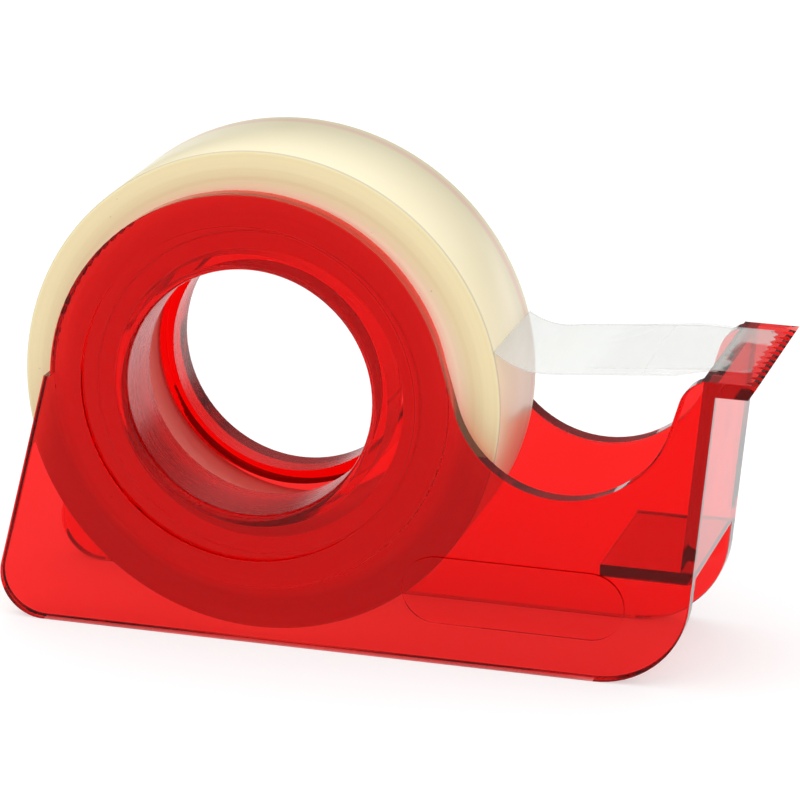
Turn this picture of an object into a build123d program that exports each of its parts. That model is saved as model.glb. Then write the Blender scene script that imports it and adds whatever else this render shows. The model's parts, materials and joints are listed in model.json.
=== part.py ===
from build123d import *
from math import acos, asin, atan2, cos, hypot, radians, sin, sqrt, tan
import os

# Hand tape dispenser: two side plates joined at the nose, with a roll of tape between them.
# Millimetres. +X points to the toothed nose, +Z is up, the plates stand on Z = 0, and the
# origin is under the middle of the whole dispenser. The roll turns about a line along Y.

# Roll of tape
TAPE_WIDTH = 12.7            # half-inch tape
ROLL_D = 42.8                # outside of the wound tape
CORE_BORE_D = 26.0           # one-inch core, with its usual ease
CORE_WALL = 1.5
FILM = 0.1                   # thickness of the free film

# How the roll sits in the dispenser
SIDE_PLAY = 1.05             # from the tape to each plate
HUB_PLAY = 0.75              # core radius over hub radius
SEAT_GAP = 0.15              # from the hub to the core where the loose roll hangs on it
HANG_ANGLE = 48.0            # degrees below forward, the way in which it has dropped
BASE_GAP = 1.1               # height of the hub axis above the base, less the roll's radius
HUB_WALL = 1.25
HUB_LENGTHS = (5.0, 3.0)     # reach of each hub in from its plate, -Y side then +Y side

# Side plates
PLATE = 1.8                  # thickness
HEAD_R = 17.8                # round top, centred on the hub
HEAD_PAD = 0.15              # extra thickness of the round head, on its inner face
SHOULDER = 0.6               # step out from the round head to the tail edge
TAIL_REACH = 22.6            # hub axis to the back of the tail
TAIL_ROUND = 4.0
NOSE_ROUND = 8.2
OUTER_ROUND = 0.8            # rounding of the plates' outer edges
INNER_ROUND = 0.3            # rounding of their inner edges
DISH_D = 30.0                # shallow dish around the hub
DISH_DEPTH = 0.4
BORE_ROUND = 0.6             # rounding of the hub bore's outer edge

# Finger dip between the head and the nose
DIP_R = 9.7
DIP_DEPTH = 11.75            # lip's top down to the bottom of the dip
NECK_GAP = 0.46              # closest approach of the head circle to the dip circle
HORN_LEAN = 16.0             # degrees forward of the nose's back flank
HORN_ROUND = 2.8
HORN_FLAT = 0.35             # from the centre of the horn's rounding to the front face

# Nose: front wall, cutting lip and shelf
LIP_RISE = 5.25              # lip's top above the hub axis
LIP_THICK = 1.3
LIP_OVERHANG = 3.6           # front face to the tooth tips
LIP_UNDERCUT = 0.8           # slope of the lip's front face, back from tips to underside
FRONT_LEAN = 4.7             # degrees forward from upright
WALL = 1.3
SHELF_THICK = 1.1
SHELF_HEIGHT = 9.2           # underside above the base
SHELF_REACH = 6.9            # back from the wall
FOOT_ROUND = 0.8             # rounding where the wall turns under into the shelf
GROOVES = 12                 # V grooves in the lip's top, which leave teeth between them
GROOVE_LENGTH = 1.2          # back from the tooth tips
GROOVE_DEPTH = 1.0           # at the tooth tips

# Plain oval pad on the -Y plate
PAD_LENGTH = 19.6
PAD_HEIGHT = 6.0
PAD_PROUD = 0.25
PAD_FORWARD = 24.0           # centre ahead of the hub axis
PAD_RISE = 6.8               # centre above the base

# Free tape, from the roll to the lip
PEEL_ANGLE = 15.2            # degrees above the roll's axis where the film leaves the roll
PEEL_DIP = 36.0              # degrees below forward, the way in which it leaves
PEEL_BEND_R = 6.0            # bend from there up to the straight run
FILM_GAP = 0.05              # film to the roll, to the lip and to the next layer
STRIP_LAND = 0.7             # how far the strip lies on the lip
END_BACK = 11.0              # reach of the tape end behind the lip
END_SHORT = 1.1              # tape end to the tooth tips
KNEE_R = 3.0                 # bend where the film lies down on the lip

# Worked out from the sizes above
ROLL_R = ROLL_D / 2
CORE_BORE_R = CORE_BORE_D / 2
CORE_R = CORE_BORE_R + CORE_WALL
HUB_R = CORE_BORE_R - HUB_PLAY
BORE_R = HUB_R - HUB_WALL
HUB_HEIGHT = ROLL_R + BASE_GAP
INSIDE_HALF = TAPE_WIDTH / 2 + SIDE_PLAY
WIDTH_HALF = INSIDE_HALF + PLATE
LIP_TOP = HUB_HEIGHT + LIP_RISE
LIP_UNDER = LIP_TOP - LIP_THICK
LEAN = radians(FRONT_LEAN)
FLANK = radians(HORN_LEAN)

# The dip circle stands NECK_GAP clear of the head circle. The nose's back flank is a straight
# line that touches the dip circle and the circle of the horn's rounding.
dip_rise = LIP_RISE - DIP_DEPTH + DIP_R
head_to_dip = HEAD_R + DIP_R + NECK_GAP
dip_forward = sqrt(head_to_dip ** 2 - dip_rise ** 2)
horn_rise = LIP_RISE - HORN_ROUND
flank_run = (horn_rise - dip_rise + (DIP_R + HORN_ROUND) * sin(FLANK)) / cos(FLANK)
horn_forward = dip_forward + (DIP_R + HORN_ROUND) * cos(FLANK) + flank_run * sin(FLANK)
nose_reach = horn_forward + HORN_FLAT + LIP_OVERHANG
HUB_X = (TAIL_REACH - nose_reach) / 2
NOSE_X = HUB_X + nose_reach
FRONT_X = NOSE_X - LIP_OVERHANG
HUB = (HUB_X, HUB_HEIGHT)
DIP = (HUB_X + dip_forward, HUB_HEIGHT + dip_rise)
HORN = (HUB_X + horn_forward, HUB_HEIGHT + horn_rise)


def about(centre, radius, angle):
    """Point on a circle in the side view, at an angle in radians up from +X."""
    return (centre[0] + radius * cos(angle), centre[1] + radius * sin(angle))


def front_x(height):
    """Place of the leaning front face at a height."""
    return FRONT_X - (LIP_UNDER - height) * tan(LEAN)


LIP_BACK_X = front_x(LIP_TOP) - WALL
ROLL = about(HUB, HUB_PLAY - SEAT_GAP, -radians(HANG_ANGLE))

# The middle of the film leaves the roll at PEEL, turns up on a circle about BEND and then runs
# straight to the KNEE above the lip's rear edge.
PEEL = about(ROLL, ROLL_R + FILM_GAP + FILM / 2, radians(PEEL_ANGLE))
BEND = about(PEEL, PEEL_BEND_R, radians(90 - PEEL_DIP))
KNEE = (LIP_BACK_X, LIP_TOP + FILM_GAP + FILM / 2)
bend_to_knee = (KNEE[0] - BEND[0], KNEE[1] - BEND[1])
RUN_SLOPE = atan2(bend_to_knee[1], bend_to_knee[0]) + asin(PEEL_BEND_R / hypot(*bend_to_knee))


def across(outline, low, high):
    """Solid of a side-view outline, from one place along Y to another."""
    return extrude(Plane.XZ.offset(-low) * outline, -(high - low))


def disc(radius, low, high, centre=HUB):
    """Round disc along Y, about the hub axis or the roll's."""
    return across(Pos(*centre) * Circle(radius), low, high)


def wound(outer, inner):
    """Ring of the roll, as wide as the tape."""
    half = TAPE_WIDTH / 2
    return disc(outer, -half, half, ROLL) - disc(inner, -half, half, ROLL)


def plate_outline():
    """Side view of a plate without its round head: tail, base, nose, horn, dip and neck."""
    tail = (HUB_X - TAIL_REACH + TAIL_ROUND, TAIL_ROUND)
    shoulder = (HUB_X - HEAD_R - SHOULDER, HUB_HEIGHT)
    reach = hypot(shoulder[0] - tail[0], shoulder[1] - tail[1])
    rise = atan2(shoulder[1] - tail[1], shoulder[0] - tail[0])
    tail_angle = rise + acos(TAIL_ROUND / reach)

    nose = (front_x(NOSE_ROUND) - NOSE_ROUND / cos(LEAN), NOSE_ROUND)
    neck_angle = atan2(dip_rise, dip_forward) + acos((HEAD_R + DIP_R) / head_to_dip)

    tail_low = (tail[0], 0)
    nose_low = (nose[0], 0)
    nose_high = about(nose, NOSE_ROUND, -LEAN)
    front_top = (front_x(LIP_TOP), LIP_TOP)
    horn_top = (HORN[0], LIP_TOP)
    flank_top = about(HORN, -HORN_ROUND, -FLANK)
    flank_low = about(DIP, DIP_R, -FLANK)
    dip_start = about(DIP, -DIP_R, neck_angle)
    neck_top = about(HUB, HEAD_R, neck_angle)
    edges = [
        Line(shoulder, about(tail, TAIL_ROUND, tail_angle)),
        ThreePointArc(about(tail, TAIL_ROUND, tail_angle),
                      about(tail, TAIL_ROUND, radians(225)), tail_low),
        Line(tail_low, nose_low),
        ThreePointArc(nose_low, about(nose, NOSE_ROUND, radians(-45)), nose_high),
        Line(nose_high, front_top),
        Line(front_top, horn_top),
        ThreePointArc(horn_top, about(HORN, HORN_ROUND, radians(125)), flank_top),
        Line(flank_top, flank_low),
        ThreePointArc(flank_low, about(DIP, DIP_R, radians(-90)), dip_start),
        Line(dip_start, neck_top),
        Line(neck_top, HUB),
        Line(HUB, shoulder),
    ]
    return make_face(edges)


def rounded(slab, joined=()):
    """Round a plate's outer (-Y) and inner edges, but not those that reach a joined point."""
    for face, radius in ((slab.faces().sort_by(Axis.Y)[0], OUTER_ROUND),
                         (slab.faces().sort_by(Axis.Y)[-1], INNER_ROUND)):
        rim = [edge for edge in face.edges()
               if not any(edge.distance_to(Vector(x, face.center().Y, z)) < 0.01
                          for x, z in joined)]
        slab = fillet(rim, radius)
    return slab


def side_plate(hub_length):
    """The plate on the -Y side: rounded rim, dish and hub."""
    outside = -WIDTH_HALF
    inside = -INSIDE_HALF
    lower = rounded(across(plate_outline(), outside, inside), joined=[HUB])
    head = rounded(disc(HEAD_R, outside, inside + HEAD_PAD))
    hub = disc(HUB_R, inside, inside + hub_length)
    dish = disc(DISH_D / 2, outside - 1, outside + DISH_DEPTH)
    bore = disc(BORE_R, outside - 1, inside + hub_length + 1)
    plate = lower + head + hub - dish - bore
    mouth = plate.edges().filter_by(GeomType.CIRCLE).filter_by(
        lambda edge: abs(edge.radius - BORE_R) < 0.001).sort_by(Axis.Y)[0]
    return fillet(mouth, BORE_ROUND)


def oval_pad():
    """Plain raised pad on the -Y plate, ahead of the hub and near the base."""
    oval = Pos(HUB_X + PAD_FORWARD, PAD_RISE) * SlotOverall(PAD_LENGTH, PAD_HEIGHT)
    return across(oval, -WIDTH_HALF - PAD_PROUD, -INSIDE_HALF)


def front_wall():
    """Leaning wall between the plates, flush with their front edges, rounded at its foot."""
    outline = Polyline((front_x(SHELF_HEIGHT), SHELF_HEIGHT), (front_x(LIP_TOP), LIP_TOP),
                       (LIP_BACK_X, LIP_TOP),
                       (front_x(SHELF_HEIGHT) - WALL, SHELF_HEIGHT), close=True)
    side = make_face(outline)
    foot = side.vertices().group_by(Axis.Y)[0].sort_by(Axis.X)[-1]
    return across(fillet(foot, FOOT_ROUND), -WIDTH_HALF, WIDTH_HALF)


def shelf():
    """Level web that runs back from the foot of the front wall."""
    front = front_x(SHELF_HEIGHT + SHELF_THICK / 2) - WALL / 2
    back = front_x(SHELF_HEIGHT) - WALL - SHELF_REACH
    outline = Pos((front + back) / 2, SHELF_HEIGHT + SHELF_THICK / 2) * Rectangle(
        front - back, SHELF_THICK)
    return across(outline, -INSIDE_HALF, INSIDE_HALF)


def groove():
    """Cutter for one V groove, which slopes up and narrows from the tooth tips to nothing."""
    over = 1.5               # as large as at the tips, so that it starts ahead of them
    side = over * WIDTH_HALF / GROOVES
    ahead = NOSE_X + (over - 1) * GROOVE_LENGTH
    vee = Plane.YZ.offset(ahead) * make_face(Polyline(
        (-side, LIP_TOP), (side, LIP_TOP), (0, LIP_TOP - over * GROOVE_DEPTH), close=True))
    slope = Vector(-GROOVE_LENGTH, 0, GROOVE_DEPTH)
    return extrude(vee, over * slope.length, dir=slope.normalized())


def lip():
    """Cutting lip with a row of teeth along its front edge."""
    outline = Polyline((LIP_BACK_X, LIP_TOP), (NOSE_X, LIP_TOP),
                       (NOSE_X - LIP_UNDERCUT, LIP_UNDER), (front_x(LIP_UNDER), LIP_UNDER),
                       close=True)
    bar = across(make_face(outline), -WIDTH_HALF, WIDTH_HALF)
    pitch = 2 * WIDTH_HALF / GROOVES
    cutter = groove()
    return bar - [Pos(0, (i + 0.5) * pitch - WIDTH_HALF, 0) * cutter for i in range(GROOVES)]


def film(path):
    """Band of film of the tape's width that follows a side-view path."""
    band = offset(path, FILM / 2, side=Side.BOTH, closed=True)
    return across(make_face(band), -TAPE_WIDTH / 2, TAPE_WIDTH / 2)


def tape_strip():
    """Film from the roll, round the bend and straight up to the lip, where it lands."""
    bend_end = RUN_SLOPE - radians(90)
    bend_start = -radians(PEEL_DIP) - radians(90)
    bend = ThreePointArc(PEEL, about(BEND, PEEL_BEND_R, (bend_start + bend_end) / 2),
                         about(BEND, PEEL_BEND_R, bend_end))
    run = FilletPolyline(bend @ 1, KNEE, (KNEE[0] + STRIP_LAND, KNEE[1]), radius=KNEE_R)
    return film(Wire(bend.edges() + run.edges()))


def tape_end():
    """Second layer, alongside the strip, that lies on the lip and stops short of its teeth."""
    lift = FILM + FILM_GAP
    knee = (KNEE[0] - lift * tan(RUN_SLOPE / 2), KNEE[1] + lift)
    back = about(knee, -END_BACK, RUN_SLOPE)
    return film(FilletPolyline(back, knee, (NOSE_X - END_SHORT, knee[1]), radius=KNEE_R + lift))


def dispenser_body():
    """One moulding: both plates, oval pad, front wall, shelf and toothed lip."""
    right = side_plate(HUB_LENGTHS[0]) + oval_pad()
    left = mirror(side_plate(HUB_LENGTHS[1]), about=Plane.XZ)
    return right + left + front_wall() + shelf() + lip()


nodes = {
    "dispenser_body": dispenser_body(),
    "tape_core": wound(CORE_R, CORE_BORE_R),
    "tape_winding": wound(ROLL_R, CORE_R),
    "tape_strip": tape_strip(),
    "tape_end": tape_end(),
}

os.makedirs("parts", exist_ok=True)
for name, shape in nodes.items():
    export_step(shape, f"parts/{name}.step")
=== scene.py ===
import json
from math import pi, radians, sin

import bmesh
import bpy
from mathutils import Matrix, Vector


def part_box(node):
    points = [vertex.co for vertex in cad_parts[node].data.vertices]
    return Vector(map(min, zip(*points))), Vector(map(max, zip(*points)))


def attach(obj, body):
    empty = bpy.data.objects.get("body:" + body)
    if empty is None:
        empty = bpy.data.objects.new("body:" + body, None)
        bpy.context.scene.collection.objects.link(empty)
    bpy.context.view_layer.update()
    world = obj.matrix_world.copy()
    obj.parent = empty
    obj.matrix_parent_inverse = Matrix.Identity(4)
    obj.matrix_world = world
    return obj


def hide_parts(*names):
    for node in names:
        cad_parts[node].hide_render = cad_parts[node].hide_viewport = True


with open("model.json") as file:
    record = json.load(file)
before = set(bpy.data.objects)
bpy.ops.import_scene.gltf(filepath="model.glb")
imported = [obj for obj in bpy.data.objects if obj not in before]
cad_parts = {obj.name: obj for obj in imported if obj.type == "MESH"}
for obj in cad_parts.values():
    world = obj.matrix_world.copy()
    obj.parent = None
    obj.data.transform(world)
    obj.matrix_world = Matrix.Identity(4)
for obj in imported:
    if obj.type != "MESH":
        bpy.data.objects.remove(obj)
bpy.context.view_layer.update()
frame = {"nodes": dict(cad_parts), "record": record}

# A see-through red tape dispenser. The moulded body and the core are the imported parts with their
# own finish. The wound tape and the two layers of free film are made here. Metres. The nose
# points to +X and the roll turns about a line along Y.

MM = 0.001


# ---------------------------------------------------------------- places taken from the frame

WIND_LOW, WIND_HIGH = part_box("tape_winding")
CORE_LOW, CORE_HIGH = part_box("tape_core")
STRIP_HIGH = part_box("tape_strip")[1]
END_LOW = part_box("tape_end")[0]
BODY_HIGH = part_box("dispenser_body")[1]

ROLL = (WIND_LOW + WIND_HIGH) / 2
ROLL_R = (WIND_HIGH.x - WIND_LOW.x) / 2
CORE_R = (CORE_HIGH.x - CORE_LOW.x) / 2
TAPE_HALF = (WIND_HIGH.y - WIND_LOW.y) / 2
BORE = next(mount for mount in frame["record"]["mounts"] if mount["name"] == "hub_bore")
BORE_R = BORE["dims"]["r_mm"] * MM

STRIP_LAND = 0.7 * MM        # how far the strip of film lies on the lip
LIP_BACK = STRIP_HIGH.x - STRIP_LAND
TEETH = 12                   # across the lip, from side to side
TOOTH_PITCH = 2 * BODY_HIGH.y / TEETH


# ---------------------------------------------------------------- sizes and levels chosen here

ROLL_WRAPS = 26              # steps in the roll's sides, from the core to the outer wrap
WRAP_STEP = 0.03 * MM        # the most that a side steps in
ROLL_RIM = 0.06 * MM         # how far the outer wrap's edges are cut back
ROLL_FACETS = 180            # round the roll

FILM_BAND = 0.6 * MM         # length of the bands that the film bends in
FAR_LIFT = 0.35 * MM         # curl of the film's far edge
NEAR_DROOP = 0.45 * MM       # sag of the strip's near edge
CURL_GROWS = 5 * MM          # length over which the curl grows, from the film's back end
CURL_ENDS = 3 * MM           # length over which it dies out, up to the lip
TORN = 0.4 * MM              # depth of the marks that the teeth leave
CORNER = 0.25                # share of the half width that a torn corner rounds off

STRIP_VEIL = 0.35, 0.19      # how milky the strip is, at the roll and at the lip
END_VEIL = 0.06, 0.18        # the same for the end's layer
END_FADE = 2 * MM            # over which the end's layer comes in

CAMERA_AT = 0.09875, -0.36225, 0.13994
CAMERA_TURN = 15.21, 17.65, 0.96   # degrees: round to the right, up, and tilt
LENS, SENSOR = 203.3, 36           # long lens, millimetres
FRONT_LIGHT, BACK_LIGHT, TOP_LIGHT = 1.4, 0.2, 1.3
FLOOR_GLOW = 0.50


# ---------------------------------------------------------------- shader helpers

class Value:
    """A shader socket that takes part in Python arithmetic by adding Math nodes."""

    def __init__(self, graph, socket):
        self.graph = graph
        self.socket = socket

    def __add__(self, other):
        return self.graph.maths("ADD", self, other)

    def __rsub__(self, other):
        return self.graph.maths("SUBTRACT", other, self)

    def __mul__(self, other):
        return self.graph.maths("MULTIPLY", self, other)

    __radd__ = __add__
    __rmul__ = __mul__


class Finish:
    """A new material with a Principled shader, and one method that adds any other node."""

    def __init__(self, name, **settings):
        self.material = bpy.data.materials.new(name)
        self.material.use_nodes = True
        self.tree = self.material.node_tree
        self.tree.nodes.clear()
        self.output = self.tree.nodes.new("ShaderNodeOutputMaterial")
        self.shader = self.tree.nodes.new("ShaderNodeBsdfPrincipled")
        self.tree.links.new(self.shader.outputs[0], self.output.inputs["Surface"])
        self.set(**settings)

    def put(self, socket, value):
        if isinstance(value, Value):
            self.tree.links.new(value.socket, socket)
        elif socket.type == "RGBA" and len(value) == 3:
            socket.default_value = (*value, 1)
        else:
            socket.default_value = value

    def set(self, **values):
        for name, value in values.items():
            self.put(self.shader.inputs[name.replace("_", " ")], value)

    def node(self, kind, settings=None, inputs=None, output=0):
        made = self.tree.nodes.new("ShaderNode" + kind)
        for name, value in (settings or {}).items():
            setattr(made, name, value)
        for name, value in (inputs or {}).items():
            self.put(made.inputs[name], value)
        return Value(self, made.outputs[output])

    def maths(self, operation, *values):
        return self.node("Math", {"operation": operation}, dict(enumerate(values)))

    def place(self):
        """Object coordinates."""
        return self.node("TexCoord", output="Object")

    def parts(self, vector):
        """The three numbers of a vector."""
        split = self.node("SeparateXYZ", None, {0: vector})
        return [Value(self, socket) for socket in split.socket.node.outputs]

    def about(self, centre):
        """Place measured from a centre, its Y, and its distance from the line along Y there."""
        place = self.node("VectorMath", {"operation": "SUBTRACT"}, {0: self.place(), 1: centre})
        x, y, z = self.parts(place)
        return place, y, self.maths("SQRT", x * x + z * z)

    def noise(self, vector, scale, detail=1.0):
        return self.node("TexNoise", None, {"Vector": vector, "Scale": scale, "Detail": detail})

    def streaks(self, axis, value, scale, detail=1.0):
        """Noise that changes with one value only, laid along one axis of the pattern."""
        return self.noise(self.node("CombineXYZ", None, {axis: value}), scale, detail)

    def blend(self, share, first, second):
        """Mix of two colours."""
        return self.node("Mix", {"data_type": "RGBA"}, {0: share, 6: first, 7: second}, output=2)

    def ramp(self, value, start, end):
        """0 up to start and 1 from end on, with a soft step between; end may be the lower."""
        settings = {"interpolation_type": "SMOOTHSTEP"}
        return self.node("MapRange", settings, {0: value, 1: start, 2: end})

    def relief(self, height, depth, strength=1.0):
        """Bump from a height pattern whose full range is depth metres."""
        self.set(Normal=self.node("Bump", None, {"Height": height, "Distance": depth,
                                                 "Strength": strength}))

    def absorb(self, colour, density):
        """Colour that deepens with the thickness of plastic that light crosses."""
        volume = self.node("VolumeAbsorption", None, {0: colour, 1: density})
        self.tree.links.new(volume.socket, self.output.inputs["Volume"])


# ---------------------------------------------------------------- finishes

def red_plastic():
    """Clear red polystyrene, polished in the mould, with faint flow waves and a satin bore."""
    finish = Finish("clear_red_plastic", Transmission_Weight=1.0, IOR=1.55,
                    Specular_Tint=(0.2, 0.2, 0.2))
    waves = finish.noise(finish.place(), 90)
    haze = finish.ramp(finish.noise(finish.place(), 260, detail=3.0), 0.35, 0.75)
    y, radius = finish.about(BORE["pos_m"])[1:]
    bore = finish.ramp(radius, BORE_R + 0.3 * MM, BORE_R + 0.1 * MM)
    turned = finish.streaks(1, y, 2200)
    finish.set(Base_Color=finish.blend(waves, (1.0, 0.24, 0.21), (1.0, 0.29, 0.25)),
               Roughness=0.035 + 0.04 * haze + bore * (0.14 + 0.14 * turned))
    finish.relief(waves, 0.02 * MM)
    finish.absorb((0.965, 0.0, 0.04), 1400)
    return finish.material


def core_plastic():
    """Red-pink core with fine turning marks."""
    finish = Finish("pink_core", IOR=1.5)
    across = finish.parts(finish.place())[1]
    marks = finish.streaks(1, across, 5200)
    finish.set(Base_Color=finish.blend(marks, (0.98, 0.24, 0.20), (1.0, 0.36, 0.31)),
               Roughness=0.32 + 0.12 * marks)
    finish.relief(marks, 0.02 * MM, 0.4)
    return finish.material


def wound_tape():
    """Cream winding: fine rings on its sides, paler towards the core, and a soft outer wrap with a
    painted red reflection near its far edge.
    """
    finish = Finish("wound_tape", IOR=1.45, Coat_Weight=0.2, Coat_Roughness=0.22)
    place, y, radius = finish.about(ROLL)

    rings = finish.streaks(0, radius, 2600, detail=2.0)
    bands = finish.streaks(0, radius, 420)
    side = finish.blend(rings * 0.6 + bands * 0.4, (0.70, 0.60, 0.33), (0.80, 0.70, 0.42))
    inner = finish.ramp(radius, ROLL_R - 2.2 * MM, ROLL_R - 4.2 * MM)
    side = finish.blend(inner * 0.9, side, (1.0, 0.92, 0.72))
    specks = finish.ramp(finish.noise(place, 3200, detail=0.0), 0.86, 0.89)
    side = finish.blend(specks * 0.4, side, (0.30, 0.28, 0.22))

    patches = finish.noise(place, 120, detail=2.0)
    wrap = finish.blend(patches, (0.88, 0.79, 0.53), (0.92, 0.84, 0.60))
    # Painted red reflection: a pink band near the wrap's far edge stands in for red light thrown
    # onto the tape by the far plate.
    painted_red_reflection = finish.ramp(y, TAPE_HALF - 2.0 * MM, TAPE_HALF - 1.4 * MM)
    painted_red_reflection = painted_red_reflection * (1 - finish.ramp(y, TAPE_HALF - 1.0 * MM, TAPE_HALF - 0.5 * MM))
    wrap = finish.blend(painted_red_reflection * 0.7, wrap, (0.88, 0.60, 0.50))
    near = finish.ramp(y, 0.3 * MM - TAPE_HALF, 0.12 * MM - TAPE_HALF)
    wrap = finish.blend(near * 0.5, wrap, (0.30, 0.27, 0.22))

    outside = finish.ramp(radius, ROLL_R - 0.12 * MM, ROLL_R - 0.02 * MM)
    finish.set(Base_Color=finish.blend(outside, side, wrap), Roughness=0.42 - 0.08 * outside)
    finish.relief(rings, 0.015 * MM, 0.5)
    return finish.material


def clear_film(name, veils, on_lip):
    """Matt-clear film with a faint white veil. The layer on the lip comes in softly at its back
    and is clearer where it is wetted down."""
    finish = Finish(name, IOR=1.45, Specular_IOR_Level=0.3)
    place = finish.place()
    x, y = finish.parts(place)[:2]
    ripple = finish.noise(place, 160)
    veil = veils[0] + (veils[1] - veils[0]) * finish.ramp(x, END_LOW.x, LIP_BACK)
    if on_lip:
        blot = finish.noise(place, 340, detail=2.0) * (3 * MM)
        wetted = finish.ramp(y + blot, 3.6 * MM, 3.2 * MM)
        wetted = wetted * finish.ramp(x + blot, LIP_BACK + 2.0 * MM, LIP_BACK + 2.6 * MM)
        dry = (1 - wetted) * finish.ramp(x, LIP_BACK, LIP_BACK + 0.6 * MM)
        veil = veil * (1 - 0.55 * wetted) + 0.12 * dry
    edge = finish.ramp(finish.maths("ABSOLUTE", y), TAPE_HALF - 0.16 * MM,
                       TAPE_HALF - 0.04 * MM)
    shown = veil + 0.02 * ripple + 0.10 * edge
    if on_lip:
        shown = shown * finish.ramp(x, END_LOW.x, END_LOW.x + END_FADE)
    finish.set(Base_Color=finish.blend(edge * 0.5, (0.80, 0.84, 0.81), (0.50, 0.52, 0.50)),
               Roughness=0.3 + 0.1 * ripple, Alpha=shown)
    return finish.material


# ---------------------------------------------------------------- pieces

def finished(mesh, name, body, material, node):
    """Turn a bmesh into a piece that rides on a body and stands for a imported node."""
    bmesh.ops.remove_doubles(mesh, verts=mesh.verts, dist=0.0005 * MM)
    bmesh.ops.recalc_face_normals(mesh, faces=mesh.faces)
    data = bpy.data.meshes.new(name)
    mesh.to_mesh(data)
    mesh.free()
    data.materials.append(material)
    piece = bpy.data.objects.new(name, data)
    bpy.context.scene.collection.objects.link(piece)
    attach(piece, body)
    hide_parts(node)
    return piece


def wound_roll():
    """Ring spun from its section, whose sides step in and out a little from wrap to wrap."""
    mesh = bmesh.new()
    side = []
    for i in range(ROLL_WRAPS + 1):
        r = CORE_R + (ROLL_R - CORE_R) * i / ROLL_WRAPS
        side.append((r, TAPE_HALF - WRAP_STEP * (0.5 + 0.5 * sin(2.4 * i + sin(1.7 * i)))))
    side[-1] = (ROLL_R - ROLL_RIM, side[-1][1])
    near = [(r, -y) for r, y in side]
    rim = [(ROLL_R, 2 * ROLL_RIM - TAPE_HALF), (ROLL_R, TAPE_HALF - 2 * ROLL_RIM)]
    verts = [mesh.verts.new((ROLL.x + r, y, ROLL.z)) for r, y in near + rim + side[::-1]]
    edges = [mesh.edges.new(pair) for pair in zip(verts, verts[1:] + verts[:1])]
    bmesh.ops.spin(mesh, geom=verts + edges, cent=ROLL, axis=(0, 1, 0), angle=2 * pi,
                   steps=ROLL_FACETS, use_merge=True)
    roll = finished(mesh, "tape_roll", "roll", wound_tape(), "tape_winding")
    roll.data.shade_smooth()


def film_piece(name, node, body, material, droop=0.0, torn=0.0):
    """Free film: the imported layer, cut into small bands, then curled a little across its width
    and, at a torn end, left with the marks of the teeth and rounded corners."""
    mesh = bmesh.new()
    mesh.from_mesh(frame["nodes"][node].data)
    bmesh.ops.remove_doubles(mesh, verts=mesh.verts, dist=0.001 * MM)
    low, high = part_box(node)
    half_bands = round(2 * TAPE_HALF / TOOTH_PITCH)
    steps = round((high.x - low.x) / FILM_BAND)
    cuts = [((0, i * TOOTH_PITCH / 2, 0), (0, 1, 0)) for i in range(-half_bands, half_bands + 1)]
    cuts += [((low.x + (high.x - low.x) * i / steps, 0, 0), (1, 0, 0)) for i in range(1, steps)]
    for place, way in cuts:
        bmesh.ops.bisect_plane(mesh, geom=mesh.verts[:] + mesh.edges[:] + mesh.faces[:],
                               plane_co=place, plane_no=way, dist=0.0001 * MM)
    for vert in mesh.verts:
        x, y = vert.co.xy
        free = min(max((x - low.x) / CURL_GROWS, 0), 1)
        free *= min(max((LIP_BACK - x) / CURL_ENDS, 0), 1)
        far = 0.5 + 0.5 * y / TAPE_HALF
        vert.co.z += free * (FAR_LIFT * far ** 1.5 - droop * (1 - far) ** 1.5)
        if torn and x > high.x - 0.05 * MM:
            tooth = abs((y / TOOTH_PITCH) % 1 - 0.5) * 2
            corner = max(abs(y) / TAPE_HALF - (1 - CORNER), 0) / CORNER
            vert.co.x -= torn * (tooth + 1.5 * corner ** 2)
    finished(mesh, name, body, material, node)


def dress(node, material):
    """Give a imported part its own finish."""
    for slot in frame["nodes"][node].material_slots:
        slot.material = material


dress("dispenser_body", red_plastic())
dress("tape_core", core_plastic())
film_piece("film_run", "tape_strip", "dispenser", clear_film("clear_film", STRIP_VEIL, False),
           droop=NEAR_DROOP)
film_piece("film_end", "tape_end", "drawn_tape", clear_film("clear_film_end", END_VEIL, True),
           torn=TORN)
wound_roll()


# ---------------------------------------------------------------- floor, light and camera

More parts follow.
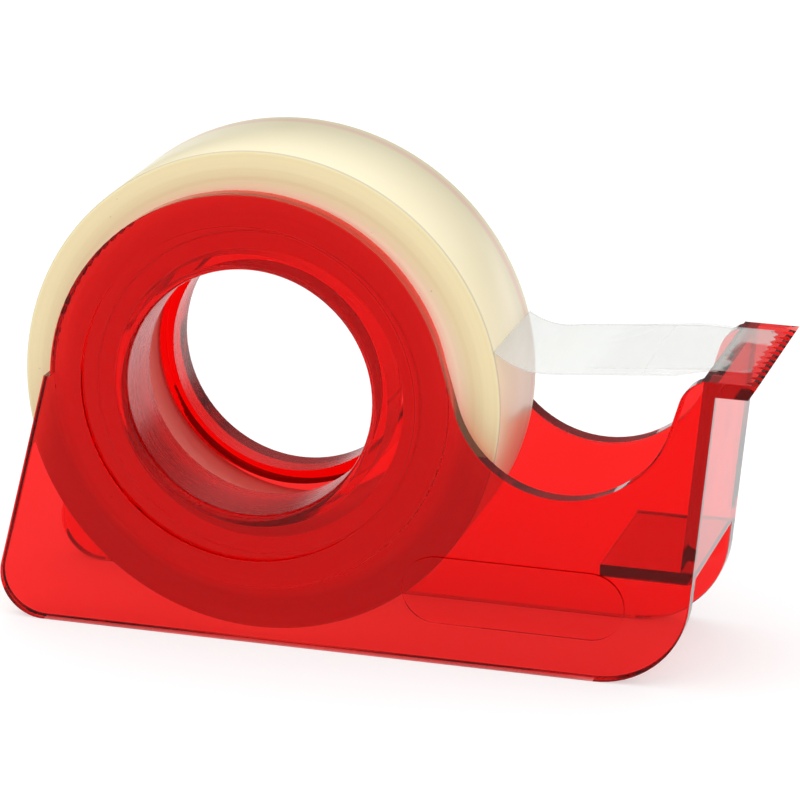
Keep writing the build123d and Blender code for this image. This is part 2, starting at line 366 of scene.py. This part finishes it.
def floor():
    """Wide floor with a glow of its own, which keeps it plain and white."""
    mesh = bmesh.new()
    bmesh.ops.create_grid(mesh, x_segments=1, y_segments=1, size=4.0)
    data = bpy.data.meshes.new("floor")
    mesh.to_mesh(data)
    mesh.free()
    plate = bpy.data.objects.new("floor", data)
    finish = Finish("white_sweep", Base_Color=(0.55, 0.55, 0.55), Roughness=0.9,
                    Emission_Color=(1, 1, 1), Emission_Strength=FLOOR_GLOW)
    data.materials.append(finish.material)
    bpy.context.scene.collection.objects.link(plate)


def sky():
    """White light overhead and in front, over a dark room low down behind."""
    world = bpy.data.worlds.new("studio")
    bpy.context.scene.world = world
    world.use_nodes = True
    tree = world.node_tree
    place = tree.nodes.new("ShaderNodeTexCoord")
    split = tree.nodes.new("ShaderNodeSeparateXYZ")
    tree.links.new(place.outputs["Generated"], split.inputs[0])

    def step(socket, start, end, before, after):
        """Soft step of light from one level to another."""
        made = tree.nodes.new("ShaderNodeMapRange")
        made.interpolation_type = "SMOOTHSTEP"
        tree.links.new(socket, made.inputs[0])
        for number, value in enumerate((start, end, before, after), 1):
            if isinstance(value, float):
                made.inputs[number].default_value = value
            else:
                tree.links.new(value, made.inputs[number])
        return made.outputs[0]

    low_light = step(split.outputs[1], -0.5, 0.4, FRONT_LIGHT, BACK_LIGHT)
    light = step(split.outputs[2], 0.3, 0.85, low_light, TOP_LIGHT)
    background = tree.nodes["Background"]
    background.inputs["Color"].default_value = (1, 1, 1, 1)
    tree.links.new(light, background.inputs["Strength"])


def camera():
    """Long lens, from the front right and a little above."""
    azimuth, elevation, tilt = (radians(angle) for angle in CAMERA_TURN)
    data = bpy.data.cameras.new("camera")
    data.sensor_width = SENSOR
    data.lens = LENS
    data.clip_start, data.clip_end = 0.01, 20
    made = bpy.data.objects.new("camera", data)
    turn = (Matrix.Rotation(azimuth, 4, "Z") @ Matrix.Rotation(pi / 2 - elevation, 4, "X")
            @ Matrix.Rotation(tilt, 4, "Z"))
    made.matrix_world = Matrix.Translation(CAMERA_AT) @ turn
    bpy.context.scene.collection.objects.link(made)
    bpy.context.scene.camera = made


floor()
sky()
camera()
bpy.context.scene.view_settings.view_transform = "Standard"

# Light is caught inside the clear walls and crosses many of them before it comes out.
cycles = bpy.context.scene.cycles
cycles.max_bounces = 40
cycles.transmission_bounces = 40
cycles.glossy_bounces = 16
cycles.transparent_max_bounces = 24
